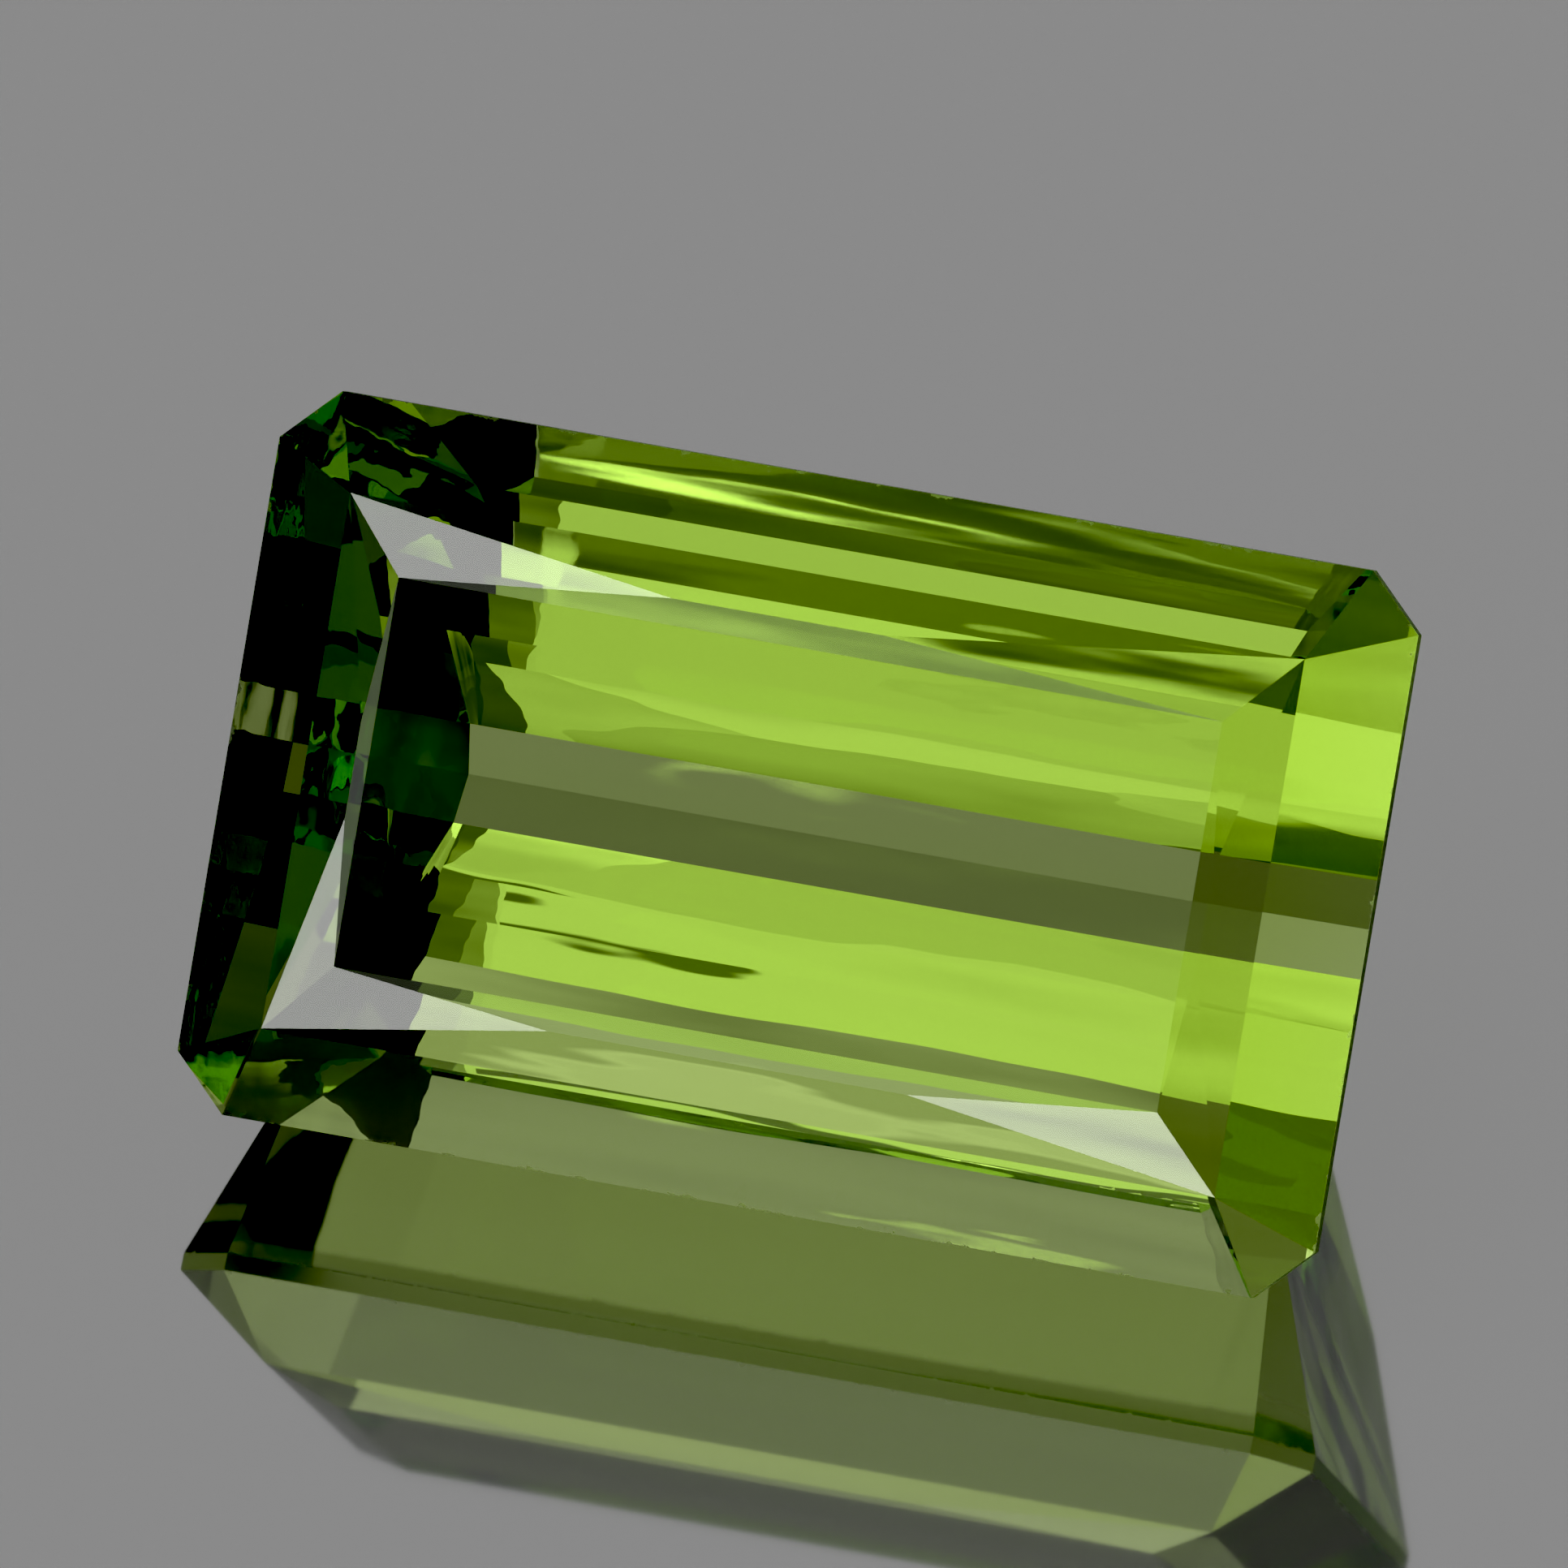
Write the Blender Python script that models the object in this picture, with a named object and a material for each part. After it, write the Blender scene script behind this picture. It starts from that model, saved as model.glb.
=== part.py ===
"""A cut diaspore gemstone, lying on one long facet of its underside with its table turned up and forward."""

import math

import bmesh
import bpy
from mathutils import Matrix, Vector

MM = 0.001

# Outline at the girdle, the widest part
LENGTH = 12.0 * MM
WIDTH = 7.5 * MM
CORNER_CUT = 0.57 * MM
GIRDLE_THICKNESS = 0.18 * MM

# Crown, the part above the girdle. The shoulder is the rectangle where its steep outer facets end.
CROWN_HEIGHT = 0.96 * MM
TABLE_LENGTH = 8.66 * MM
TABLE_WIDTH = 4.02 * MM
SHOULDER_LENGTH = 10.04 * MM
SHOULDER_WIDTH = 5.54 * MM
SHOULDER_HEIGHT = 0.74 * MM

# Scissor facets: a short ridge runs along each side, just outside the table and a little below it
RIDGE_DROP = 0.03 * MM
RIDGE_FROM_TABLE_LONG = 0.27 * MM
RIDGE_FROM_TABLE_END = 0.15 * MM
RIDGE_FAR_SIDE = (-1.50 * MM, 0.72 * MM)
RIDGE_NEAR_SIDE = (-2.04 * MM, 1.74 * MM)
RIDGE_ENDS = (-0.50 * MM, 0.50 * MM)

# Pavilion, the part under the girdle. Angles are from the girdle's plane, depths from its lower edge.
# Each long side has four steps and each end has one tall facet.
UPPER_ANGLE = math.radians(76.5)
RESTING_ANGLE = math.radians(50.5)
RESTING_START = 2.09 * MM
LOWER_ANGLE = math.radians(41.5)
LOWER_START = 4.28 * MM
KEEL_ANGLE = math.radians(16.0)
KEEL_START = 5.10 * MM
END_ANGLE = math.radians(69.5)
CORNER_ANGLE = math.radians(75.0)

BLANK_SIZE = 30.0 * MM
WELD = 0.0005 * MM
SIDES = (-1, 1)


def remove_everything():
    for old in list(bpy.data.objects):
        bpy.data.objects.remove(old)


def make_crystal_material():
    material = bpy.data.materials.new("diaspore")
    material.use_nodes = True
    shader = material.node_tree.nodes["Principled BSDF"]
    shader.inputs["Base Color"].default_value = (0.62, 0.80, 0.20, 1.0)
    shader.inputs["Roughness"].default_value = 0.02
    shader.inputs["IOR"].default_value = 1.72
    shader.inputs["Transmission Weight"].default_value = 1.0
    return material


def grind(stone, point, outward):
    """Grinds one flat facet: takes away what lies outside the plane and closes the opening."""
    everything = stone.verts[:] + stone.edges[:] + stone.faces[:]
    bmesh.ops.bisect_plane(
        stone, geom=everything, dist=WELD, plane_co=point, plane_no=outward, clear_outer=True
    )
    rim = [edge for edge in stone.edges if edge.is_boundary]
    if rim:
        bmesh.ops.edgeloop_fill(stone, edges=rim)


def grind_through(stone, first, second, third):
    """Grinds the crown facet that passes through three corners."""
    outward = (second - first).cross(third - first).normalized()
    if outward.z < 0:
        outward.negate()
    grind(stone, first, outward)


def grind_girdle(stone):
    half_length = LENGTH / 2
    half_width = WIDTH / 2
    for side in SIDES:
        grind(stone, Vector((side * half_length, 0, 0)), Vector((side, 0, 0)))
        grind(stone, Vector((0, side * half_width, 0)), Vector((0, side, 0)))
    for x_side in SIDES:
        for y_side in SIDES:
            corner = Vector((x_side * (half_length - CORNER_CUT), y_side * half_width, 0))
            grind(stone, corner, Vector((x_side, y_side, 0)).normalized())


def table_corner(x_side, y_side):
    return Vector((x_side * TABLE_LENGTH / 2, y_side * TABLE_WIDTH / 2, CROWN_HEIGHT))


def shoulder_corner(x_side, y_side):
    return Vector((x_side * SHOULDER_LENGTH / 2, y_side * SHOULDER_WIDTH / 2, SHOULDER_HEIGHT))


def grind_crown_side(stone, girdle_middle, tables, shoulders, ridge):
    """One side of the crown: the outer facet, two facets along the ridge and two end triangles."""
    grind_through(stone, girdle_middle, girdle_middle + shoulders[1] - shoulders[0], shoulders[0])
    grind_through(stone, shoulders[0], shoulders[1], ridge[0])
    grind_through(stone, tables[0], tables[1], ridge[0])
    for end in (0, 1):
        grind_through(stone, shoulders[end], tables[end], ridge[end])


def grind_crown(stone):
    ridge_height = CROWN_HEIGHT - RIDGE_DROP
    for side in SIDES:
        along = RIDGE_FAR_SIDE if side > 0 else RIDGE_NEAR_SIDE
        across = side * (TABLE_WIDTH / 2 + RIDGE_FROM_TABLE_LONG)
        ridge = [Vector((x, across, ridge_height)) for x in along]
        tables = [table_corner(end, side) for end in SIDES]
        shoulders = [shoulder_corner(end, side) for end in SIDES]
        grind_crown_side(stone, Vector((0, side * WIDTH / 2, 0)), tables, shoulders, ridge)
    for side in SIDES:
        across = side * (TABLE_LENGTH / 2 + RIDGE_FROM_TABLE_END)
        ridge = [Vector((across, y, ridge_height)) for y in RIDGE_ENDS]
        tables = [table_corner(side, end) for end in SIDES]
        shoulders = [shoulder_corner(side, end) for end in SIDES]
        grind_crown_side(stone, Vector((side * LENGTH / 2, 0, 0)), tables, shoulders, ridge)
    grind(stone, Vector((0, 0, CROWN_HEIGHT)), Vector((0, 0, 1)))


def grind_crown_corners(stone):
    for x_side in SIDES:
        for y_side in SIDES:
            on_end = Vector((x_side * LENGTH / 2, y_side * (WIDTH / 2 - CORNER_CUT), 0))
            on_side = Vector((x_side * (LENGTH / 2 - CORNER_CUT), y_side * WIDTH / 2, 0))
            grind_through(stone, on_end, on_side, shoulder_corner(x_side, y_side))


def grind_under(stone, outward, reach, depth, angle):
    """Grinds a pavilion facet that starts this far from the middle and this deep, and leans in."""
    start = outward * reach - Vector((0, 0, GIRDLE_THICKNESS + depth))
    grind(stone, start, outward * math.sin(angle) - Vector((0, 0, math.cos(angle))))


def grind_long_side(stone, outward):
    """Four steps, each starting where the one above it ends."""
    angles = (UPPER_ANGLE, RESTING_ANGLE, LOWER_ANGLE, KEEL_ANGLE)
    starts = (0, RESTING_START, LOWER_START, KEEL_START)
    reach = WIDTH / 2
    for step, angle in enumerate(angles):
        if step > 0:
            reach -= (starts[step] - starts[step - 1]) / math.tan(angles[step - 1])
        grind_under(stone, outward, reach, starts[step], angle)


def grind_pavilion(stone):
    for side in SIDES:
        grind_long_side(stone, Vector((0, side, 0)))
        grind_under(stone, Vector((side, 0, 0)), LENGTH / 2, 0, END_ANGLE)
    corner_reach = (LENGTH / 2 + WIDTH / 2 - CORNER_CUT) / math.sqrt(2)
    for x_side in SIDES:
        for y_side in SIDES:
            diagonal = Vector((x_side, y_side, 0)).normalized()
            grind_under(stone, diagonal, corner_reach, 0, CORNER_ANGLE)


def lay_down(stone):
    """Turns the stone about its long axis onto its resting facet and sets it on the ground."""
    bmesh.ops.rotate(stone, verts=stone.verts, matrix=Matrix.Rotation(RESTING_ANGLE, 3, "X"))
    lowest = min(corner.co.z for corner in stone.verts)
    front = min(corner.co.y for corner in stone.verts)
    back = max(corner.co.y for corner in stone.verts)
    bmesh.ops.translate(stone, verts=stone.verts, vec=Vector((0, -(front + back) / 2, -lowest)))


def make_gemstone():
    stone = bmesh.new()
    bmesh.ops.create_cube(stone, size=BLANK_SIZE)
    grind_girdle(stone)
    grind_crown(stone)
    grind_crown_corners(stone)
    grind_pavilion(stone)
    lay_down(stone)
    bmesh.ops.recalc_face_normals(stone, faces=stone.faces)
    mesh = bpy.data.meshes.new("gemstone")
    stone.to_mesh(mesh)
    stone.free()
    mesh.materials.append(make_crystal_material())
    return bpy.data.objects.new("gemstone", mesh)


remove_everything()
collection = bpy.data.collections.new("diaspore_gemstone")
bpy.context.scene.collection.children.link(collection)
collection.objects.link(make_gemstone())
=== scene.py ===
import math

import bmesh
import bpy
from mathutils import Matrix, Vector

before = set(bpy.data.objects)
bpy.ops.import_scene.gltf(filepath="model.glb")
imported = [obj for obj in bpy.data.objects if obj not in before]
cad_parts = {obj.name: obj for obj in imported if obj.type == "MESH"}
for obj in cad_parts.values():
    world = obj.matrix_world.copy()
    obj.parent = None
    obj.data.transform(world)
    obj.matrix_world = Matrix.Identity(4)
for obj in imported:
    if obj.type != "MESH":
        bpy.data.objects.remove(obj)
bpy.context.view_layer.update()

MM = 0.001

# Where the stone lies. Its table is turned up and forward by this angle about its long axis.
LEAN = math.radians(50.5)
GIRDLE_CENTRE = Vector((0, -1.0086, 3.9503)) * MM
GIRDLE_THICKNESS = 0.18 * MM

# Viewpoint of the photograph. The long lens keeps the stone's parallel edges parallel.
VIEW_AZIMUTH = math.radians(15)
VIEW_ELEVATION = math.radians(41)
FRAME_WIDTH = 15.97 * MM
FRAME_PIXELS = 1932
GIRDLE_CENTRE_PIXEL = (980.75, 1039.4)
LENS = 900
SENSOR = 36

# Crystal. Light fades as exp(-absorption * path) in each of red, green and blue, with the path in metres.
CRYSTAL_IOR = 1.72
ABSORBED_PER_METRE = (67, 34, 170)

# Finish. The underside's facets are rolled by slow waves. The girdle is ground, with chips along it:
# chips form where the noise passes the threshold, and reach furthest where it passes it by CHIP_FULL.
ROLL_SIZE = 1.3 * MM
ROLL_TILT = math.radians(0.9)
ROLL_STRETCH = 6
POLISH_ROUGHNESS = 0.0
GROUND_ROUGHNESS = 0.34
CHIP_SIZE = 0.16 * MM
CHIP_REACH = 0.05 * MM
CHIP_THRESHOLD = 0.56
CHIP_FULL = 0.2
GROUND_SOFTNESS = 0.004 * MM

# Glossy floor
FLOOR_RADIUS = 0.6
FLOOR_SEGMENTS = 96
FLOOR_DROP = 0.005 * MM
FLOOR_ROUGHNESS = 0.045
MIRROR_SHARE = 0.55
FLOOR_GREY = 0.12

# Soft lights round the stone: azimuth and elevation of the middle, half sizes, softness of the edge
# (all in degrees, azimuth from the front and growing to the right) and radiance.
LIGHTS = (
    ("large left softbox", -102, 40, 104, 25, 10, 0.24),
    ("ceiling", 0, 88, 170, 25, 10, 0.136),
    ("high front strip", -12, 74, 29, 5, 2, 1.75),
    ("front left softbox", -34, 44, 35, 12, 6, 0.65),
    ("high left card", -108, 76, 58, 8, 4, 0.41),
    ("upper front strip", -9, 59, 15.5, 5, 2, 1.33),
    ("left strip", -94.6, 49, 12.2, 5, 2, 1.25),
    ("front strip", -17, 28, 16, 8, 4, 0.46),
    ("low back strip", -163.8, 9, 8, 5, 2, 0.79),
    ("back card", -165, 36, 17, 8, 4, 0.10),
    ("high back card", -157, 61.4, 7, 1.8, 0.6, 0.27),
    ("high back slit", -157, 58.6, 7, 1.1, 0.4, 0.50),
    ("back slit", -161, 53.5, 6, 1.8, 0.6, 0.25),
    ("back left card", -140, 20, 8, 8, 2, 0.45),
    ("left middle card", -55, 36, 5, 5, 1.5, 0.50),
    ("right back softbox", 118, 32, 27, 14, 5, 0.50),
    ("low front left card", -43, 5, 8, 5, 2, 0.45),
    ("front left card", -43.5, 24, 4.5, 6, 1, 0.90),
    ("high lamp", -31.4, 64.5, 2.4, 1.1, 0.3, 4.7),
    ("low right lamp", -8.9, 7, 1, 2.6, 0.2, 4.7),
    ("low left lamp", -14, 7, 1, 2.6, 0.2, 4.7),
    ("left lamp", -49.6, 22.9, 2.6, 1.5, 0.3, 4.7),
)
# Dark gap between the front lights. The table mirrors it, so the table shows no glare.
GAP = ("gap", -14, 36.1, 1.4, 0.5, 0.12, 0.8)
ROOM_RADIANCE = 0.02
# The camera sees an even pale room behind the floor and mirrored in it.
BACKDROP_RADIANCE = 0.29
ROOM_IN_FLOOR_RADIANCE = 0.49
# A ray from the camera that meets the floor alone reaches the room below this depth.
DEEPEST_IN_FLOOR = 2.5

# Radiance below which the picture is plain black
BLACK_LEVEL = 0.045
MOST_BOUNCES = 20


class Wiring:
    """Short names for the node arithmetic of one node tree."""

    def __init__(self, tree):
        self.tree = tree

    def node(self, kind, **settings):
        made = self.tree.nodes.new(kind)
        for name, value in settings.items():
            setattr(made, name, value)
        return made

    def put(self, socket, value):
        if isinstance(value, bpy.types.NodeSocket):
            self.tree.links.new(value, socket)
        else:
            socket.default_value = value

    def math(self, operation, *values, clamp=False):
        made = self.node("ShaderNodeMath", operation=operation, use_clamp=clamp)
        for socket, value in zip(made.inputs, values):
            self.put(socket, value)
        return made.outputs[0]

    def blend(self, share, low, high):
        """low where share is 0, high where it is 1."""
        return self.math("MULTIPLY_ADD", share, high - low, low)

    def choose(self, share, first, second):
        """first where share is 0, second where it is 1."""
        made = self.node("ShaderNodeMix")
        self.put(made.inputs["Factor"], share)
        self.put(made.inputs["A"], first)
        self.put(made.inputs["B"], second)
        return made.outputs["Result"]

    def noise(self, place, size, detail=0, socket="Fac"):
        made = self.node("ShaderNodeTexNoise")
        self.put(made.inputs["Vector"], place)
        made.inputs["Scale"].default_value = 1 / size
        made.inputs["Detail"].default_value = detail
        return made.outputs[socket]

    def tilt(self, place, size, amount, detail=0):
        """A small vector that wanders slowly from place to place, by about the amount each way."""
        made = self.node("ShaderNodeVectorMath", operation="MULTIPLY_ADD")
        self.put(made.inputs[0], self.noise(place, size, detail, "Color"))
        made.inputs[1].default_value = (4 * amount,) * 3
        made.inputs[2].default_value = (-2 * amount,) * 3
        return made.outputs[0]

    def add(self, first, second):
        made = self.node("ShaderNodeVectorMath", operation="ADD")
        self.put(made.inputs[0], first)
        self.put(made.inputs[1], second)
        return made.outputs[0]

    def scaled(self, vector, amount):
        made = self.node("ShaderNodeVectorMath", operation="SCALE")
        self.put(made.inputs[0], vector)
        self.put(made.inputs["Scale"], amount)
        return made.outputs[0]

    def stretched(self, vector, amounts):
        made = self.node("ShaderNodeVectorMath", operation="MULTIPLY")
        self.put(made.inputs[0], vector)
        made.inputs[1].default_value = amounts
        return made.outputs[0]

    def normalised(self, vector):
        made = self.node("ShaderNodeVectorMath", operation="NORMALIZE")
        self.put(made.inputs[0], vector)
        return made.outputs[0]

    def dot(self, vector, direction):
        made = self.node("ShaderNodeVectorMath", operation="DOT_PRODUCT")
        self.put(made.inputs[0], vector)
        made.inputs[1].default_value = direction
        return made.outputs["Value"]

    def smooth_fall(self, value, start, end):
        """1 up to start, then falling smoothly to 0 at end."""
        made = self.node("ShaderNodeMapRange", interpolation_type="SMOOTHSTEP")
        self.put(made.inputs["Value"], value)
        made.inputs["From Min"].default_value = start
        made.inputs["From Max"].default_value = end
        made.inputs["To Min"].default_value = 1.0
        made.inputs["To Max"].default_value = 0.0
        return made.outputs["Result"]


def light_shape(wiring, azimuth, elevation, light):
    """Radiance of one soft rectangular light by direction."""
    _, at_azimuth, at_elevation, half_width, half_height, edge, radiance = light
    turned = wiring.math("SUBTRACT", azimuth, at_azimuth)
    across = wiring.math("ABSOLUTE", wiring.math("WRAP", turned, 180, -180))
    along = wiring.math("ABSOLUTE", wiring.math("SUBTRACT", elevation, at_elevation))
    inside_width = wiring.smooth_fall(across, half_width - edge, half_width + edge)
    inside_height = wiring.smooth_fall(along, half_height - edge, half_height + edge)
    return wiring.math("MULTIPLY", wiring.math("MULTIPLY", inside_width, inside_height), radiance)


def make_studio_light():
    world = bpy.data.worlds.new("soft studio light")
    bpy.context.scene.world = world
    world.use_nodes = True
    tree = world.node_tree
    tree.nodes.clear()
    wiring = Wiring(tree)
    direction = wiring.node("ShaderNodeTexCoord").outputs["Generated"]
    apart = wiring.node("ShaderNodeSeparateXYZ")
    wiring.put(apart.inputs[0], direction)
    x, y, z = apart.outputs
    towards_front = wiring.math("MULTIPLY", y, -1)
    azimuth = wiring.math("DEGREES", wiring.math("ARCTAN2", x, towards_front))
    elevation = wiring.math("DEGREES", wiring.math("ARCSINE", z))
    total = ROOM_RADIANCE
    for light in LIGHTS:
        total = wiring.math("ADD", total, light_shape(wiring, azimuth, elevation, light))
    outside_gap = wiring.math("SUBTRACT", 1, light_shape(wiring, azimuth, elevation, GAP))
    lit = wiring.math("MULTIPLY", total, outside_gap)
    path = wiring.node("ShaderNodeLightPath").outputs
    first = wiring.math("LESS_THAN", path["Ray Depth"], DEEPEST_IN_FLOOR)
    rough = wiring.math("SUBTRACT", path["Is Glossy Ray"], path["Is Singular Ray"], clamp=True)
    in_floor = wiring.math("MULTIPLY", first, rough)
    radiance = wiring.choose(in_floor, lit, ROOM_IN_FLOOR_RADIANCE)
    radiance = wiring.choose(path["Is Camera Ray"], radiance, BACKDROP_RADIANCE)
    background = wiring.node("ShaderNodeBackground")
    wiring.put(background.inputs["Color"], (1, 1, 1, 1))
    wiring.put(background.inputs["Strength"], radiance)
    output = wiring.node("ShaderNodeOutputWorld")
    tree.links.new(background.outputs[0], output.inputs["Surface"])
    world.cycles.sampling_method = "NONE"


def make_floor():
    shape = bmesh.new()
    bmesh.ops.create_circle(shape, cap_ends=True, radius=FLOOR_RADIUS, segments=FLOOR_SEGMENTS)
    mesh = bpy.data.meshes.new("glossy_floor")
    shape.to_mesh(mesh)
    shape.free()
    floor = bpy.data.objects.new("glossy_floor", mesh)
    floor.location.z = -FLOOR_DROP
    bpy.context.scene.collection.objects.link(floor)
    mesh.materials.append(make_floor_material())


def make_floor_material():
    material = bpy.data.materials.new("glossy grey floor")
    material.use_nodes = True
    tree = material.node_tree
    tree.nodes.clear()
    wiring = Wiring(tree)
    matt = wiring.node("ShaderNodeBsdfDiffuse")
    matt.inputs["Color"].default_value = (FLOOR_GREY, FLOOR_GREY, FLOOR_GREY, 1)
    mirror = wiring.node("ShaderNodeBsdfGlossy")
    mirror.inputs["Color"].default_value = (1, 1, 1, 1)
    mirror.inputs["Roughness"].default_value = FLOOR_ROUGHNESS
    mix = wiring.node("ShaderNodeMixShader")
    mix.inputs[0].default_value = MIRROR_SHARE
    tree.links.new(matt.outputs[0], mix.inputs[1])
    tree.links.new(mirror.outputs[0], mix.inputs[2])
    output = wiring.node("ShaderNodeOutputMaterial")
    tree.links.new(mix.outputs[0], output.inputs["Surface"])
    return material


def across_girdle():
    """Direction from the stone's underside to its table."""
    return Vector((0, -math.sin(LEAN), math.cos(LEAN)))


def girdle_height(wiring, place):
    """How far above the middle of the girdle a point lies, measured square to the girdle."""
    outward = across_girdle()
    level = GIRDLE_CENTRE.dot(outward) - GIRDLE_THICKNESS / 2
    return wiring.math("SUBTRACT", wiring.dot(place, outward), level)


def ground_mask(wiring, place, height):
    """1 on the ground band of the girdle and on small chips at its edges, 0 on polished facets."""
    grain = wiring.noise(place, CHIP_SIZE, detail=3)
    chips = wiring.math("SUBTRACT", grain, CHIP_THRESHOLD, clamp=True)
    reach = wiring.math("MULTIPLY", chips, CHIP_REACH / CHIP_FULL)
    over = wiring.math("SUBTRACT", wiring.math("ABSOLUTE", height), reach)
    edge = GIRDLE_THICKNESS / 2
    return wiring.smooth_fall(over, edge - GROUND_SOFTNESS, edge + GROUND_SOFTNESS)


def facet_normal(wiring, place, height):
    """The facet's own normal, rolled a little under the girdle by waves along the stone."""
    normal = wiring.node("ShaderNodeNewGeometry").outputs["Normal"]
    along = wiring.stretched(place, (1 / ROLL_STRETCH, 1, 1))
    roll = wiring.tilt(along, ROLL_SIZE, math.tan(ROLL_TILT), detail=3)
    below = wiring.math("LESS_THAN", height, 0)
    return wiring.normalised(wiring.add(normal, wiring.scaled(roll, below)))


def make_crystal():
    material = bpy.data.materials.new("yellow-green diaspore crystal")
    material.use_nodes = True
    tree = material.node_tree
    wiring = Wiring(tree)
    shader = tree.nodes["Principled BSDF"]
    place = wiring.node("ShaderNodeTexCoord").outputs["Object"]
    height = girdle_height(wiring, place)
    ground = ground_mask(wiring, place, height)
    shader.inputs["Base Color"].default_value = (1, 1, 1, 1)
    wiring.put(shader.inputs["Roughness"], wiring.blend(ground, POLISH_ROUGHNESS, GROUND_ROUGHNESS))
    wiring.put(shader.inputs["Normal"], facet_normal(wiring, place, height))
    shader.inputs["IOR"].default_value = CRYSTAL_IOR
    shader.inputs["Transmission Weight"].default_value = 1.0
    density = max(ABSORBED_PER_METRE)
    kept = [1 - absorbed / density for absorbed in ABSORBED_PER_METRE]
    absorption = wiring.node("ShaderNodeVolumeAbsorption")
    absorption.inputs["Color"].default_value = (*kept, 1)
    absorption.inputs["Density"].default_value = density
    tree.links.new(absorption.outputs[0], tree.nodes["Material Output"].inputs["Volume"])
    return material


def dress_stone():
    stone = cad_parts["gemstone"]
    stone.data.materials.clear()
    stone.data.materials.append(make_crystal())


def place_camera():
    back = Vector((
        math.sin(VIEW_AZIMUTH) * math.cos(VIEW_ELEVATION),
        -math.cos(VIEW_AZIMUTH) * math.cos(VIEW_ELEVATION),
        math.sin(VIEW_ELEVATION),
    ))
    right = Vector((math.cos(VIEW_AZIMUTH), math.sin(VIEW_AZIMUTH), 0))
    up = back.cross(right)
    pixel = FRAME_WIDTH / FRAME_PIXELS
    off_right = GIRDLE_CENTRE_PIXEL[0] - FRAME_PIXELS / 2
    off_down = GIRDLE_CENTRE_PIXEL[1] - FRAME_PIXELS / 2
    aim = GIRDLE_CENTRE - right * off_right * pixel + up * off_down * pixel
    lens = bpy.data.cameras.new("long lens")
    lens.lens = LENS
    lens.sensor_width = SENSOR
    distance = FRAME_WIDTH * LENS / SENSOR
    lens.clip_start = distance / 100
    lens.clip_end = distance * 10
    camera = bpy.data.objects.new("camera", lens)
    turn = back.to_track_quat("Z", "Y").to_matrix().to_4x4()
    camera.matrix_world = Matrix.Translation(aim + back * distance) @ turn
    bpy.context.scene.collection.objects.link(camera)
    bpy.context.scene.camera = camera


def set_picture():
    scene = bpy.context.scene
    view = scene.view_settings
    view.view_transform = "Standard"
    view.use_curve_mapping = True
    view.curve_mapping.black_level = (BLACK_LEVEL,) * 3
    view.curve_mapping.update()
    cycles = scene.cycles
    cycles.max_bounces = MOST_BOUNCES
    cycles.transmission_bounces = MOST_BOUNCES
    cycles.glossy_bounces = MOST_BOUNCES
    cycles.diffuse_bounces = 4
    cycles.volume_bounces = 0


make_studio_light()
make_floor()
dress_stone()
place_camera()
set_picture()
